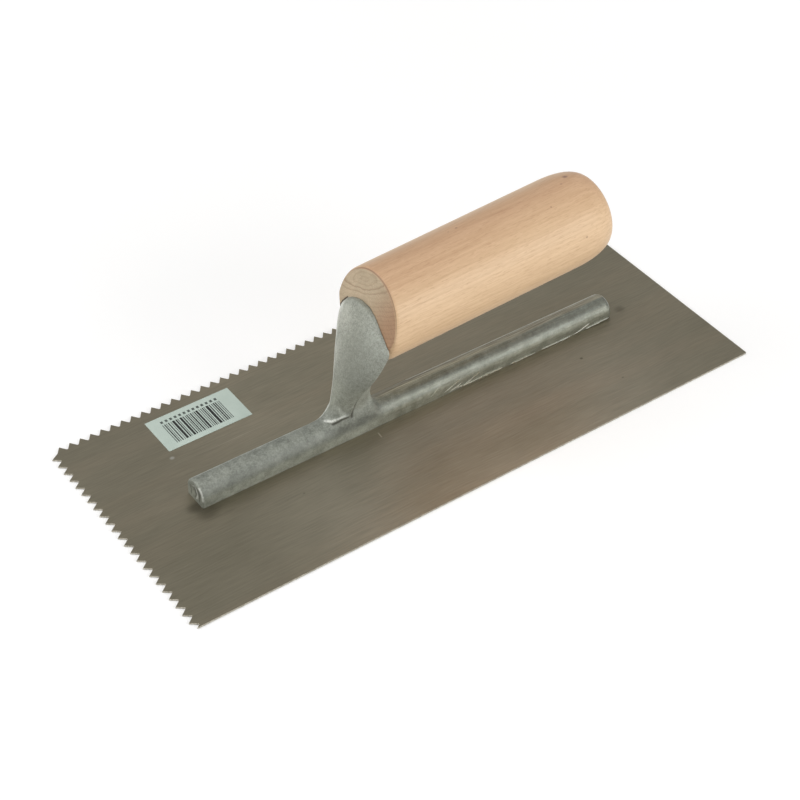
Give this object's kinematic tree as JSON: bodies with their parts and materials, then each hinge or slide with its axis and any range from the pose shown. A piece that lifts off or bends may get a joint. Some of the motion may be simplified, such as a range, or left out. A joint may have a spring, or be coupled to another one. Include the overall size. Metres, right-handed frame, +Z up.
{
  "type": "notched trowel",
  "caption": "Rectangular steel adhesive trowel with V notches on one long and one short edge, a cast alloy shank and a turned wooden handle.",
  "frame": {"origin": "centre of the blade's underside: halfway along its 280 mm length and halfway across its 115 mm width", "axes": "+X along the blade towards its plain short edge, +Y across the blade towards the notched long edge, +Z up through the handle"},
  "size_m": [0.28, 0.115, 0.082],
  "materials": {
    "blade_steel": "tempered sheet steel, finely brushed along its length, light oil film",
    "cast_alloy": "as-cast aluminium alloy, mottled and slightly frosted, parting flash left along the bar",
    "rivet_steel": "steel rivet, ground flush with the blade",
    "beech": "turned beech, sanded, thin clear lacquer; bare end grain on the raked front face",
    "zinc_plated_steel": "bright zinc plate",
    "label_paper": null
  },
  "bodies": {
    "root": {"blade": "blade_steel", "shank": "cast_alloy", "rivet_1": "rivet_steel", "rivet_2": "rivet_steel", "rivet_3": "rivet_steel", "rivet_4": "rivet_steel", "rivet_5": "rivet_steel", "rivet_6": "rivet_steel", "rivet_7": "rivet_steel", "handle": "beech", "handle_washer": "zinc_plated_steel", "handle_screw": "zinc_plated_steel", "price_label": "label_paper"}
  },
  "joints": []
}
